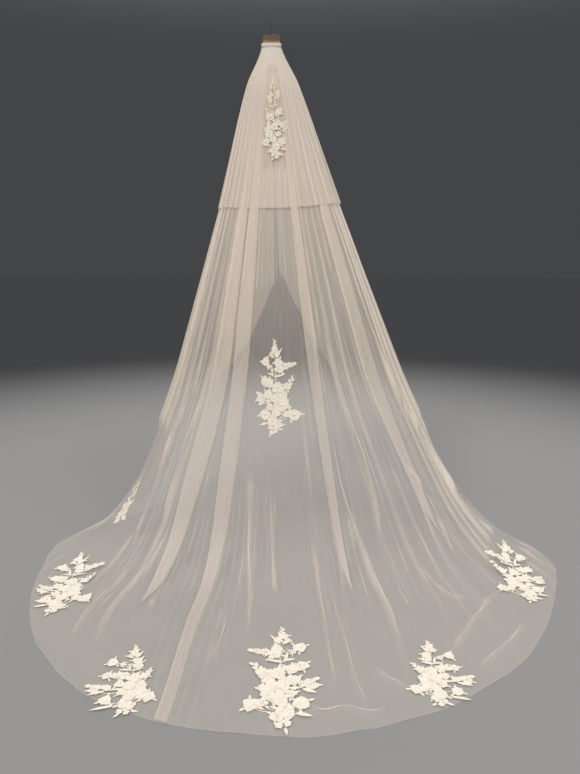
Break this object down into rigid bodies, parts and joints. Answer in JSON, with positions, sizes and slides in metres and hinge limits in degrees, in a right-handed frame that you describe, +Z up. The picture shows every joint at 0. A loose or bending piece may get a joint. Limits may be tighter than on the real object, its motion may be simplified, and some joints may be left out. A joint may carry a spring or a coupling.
{
  "type": "bridal veil on a hook",
  "caption": "Two-tier cathedral-length bridal veil of sheer tulle with lace sprays, hung by its hair comb from a wire hook, its train spread on the floor.",
  "frame": {"origin": "top end of the hook, where it is fastened, above the middle of the comb", "axes": "+Z up, -Y towards the front of the veil and its train, +X to the right as seen from the front"},
  "size_m": [2.15, 1.7764, 2.39],
  "materials": {
    "tulle": "sheer soft net, warm white",
    "lace": "corded lace, ivory",
    "satin": "satin, ivory",
    "gold_wire": "polished wire",
    "black_wire": "semi-gloss black"
  },
  "bodies": {
    "root": {"main_veil": "tulle", "blusher": "tulle", "lace_top": "lace", "lace_middle": "lace", "lace_hem_centre": "lace", "lace_hem_left": "lace", "lace_hem_right": "lace", "lace_side_left": "lace", "lace_side_right": "lace", "lace_back_left": "lace", "lace_back_right": "lace", "binding_band": "satin", "comb_spine": "gold_wire", "comb_teeth": "gold_wire", "hook": "black_wire"}
  },
  "joints": []
}
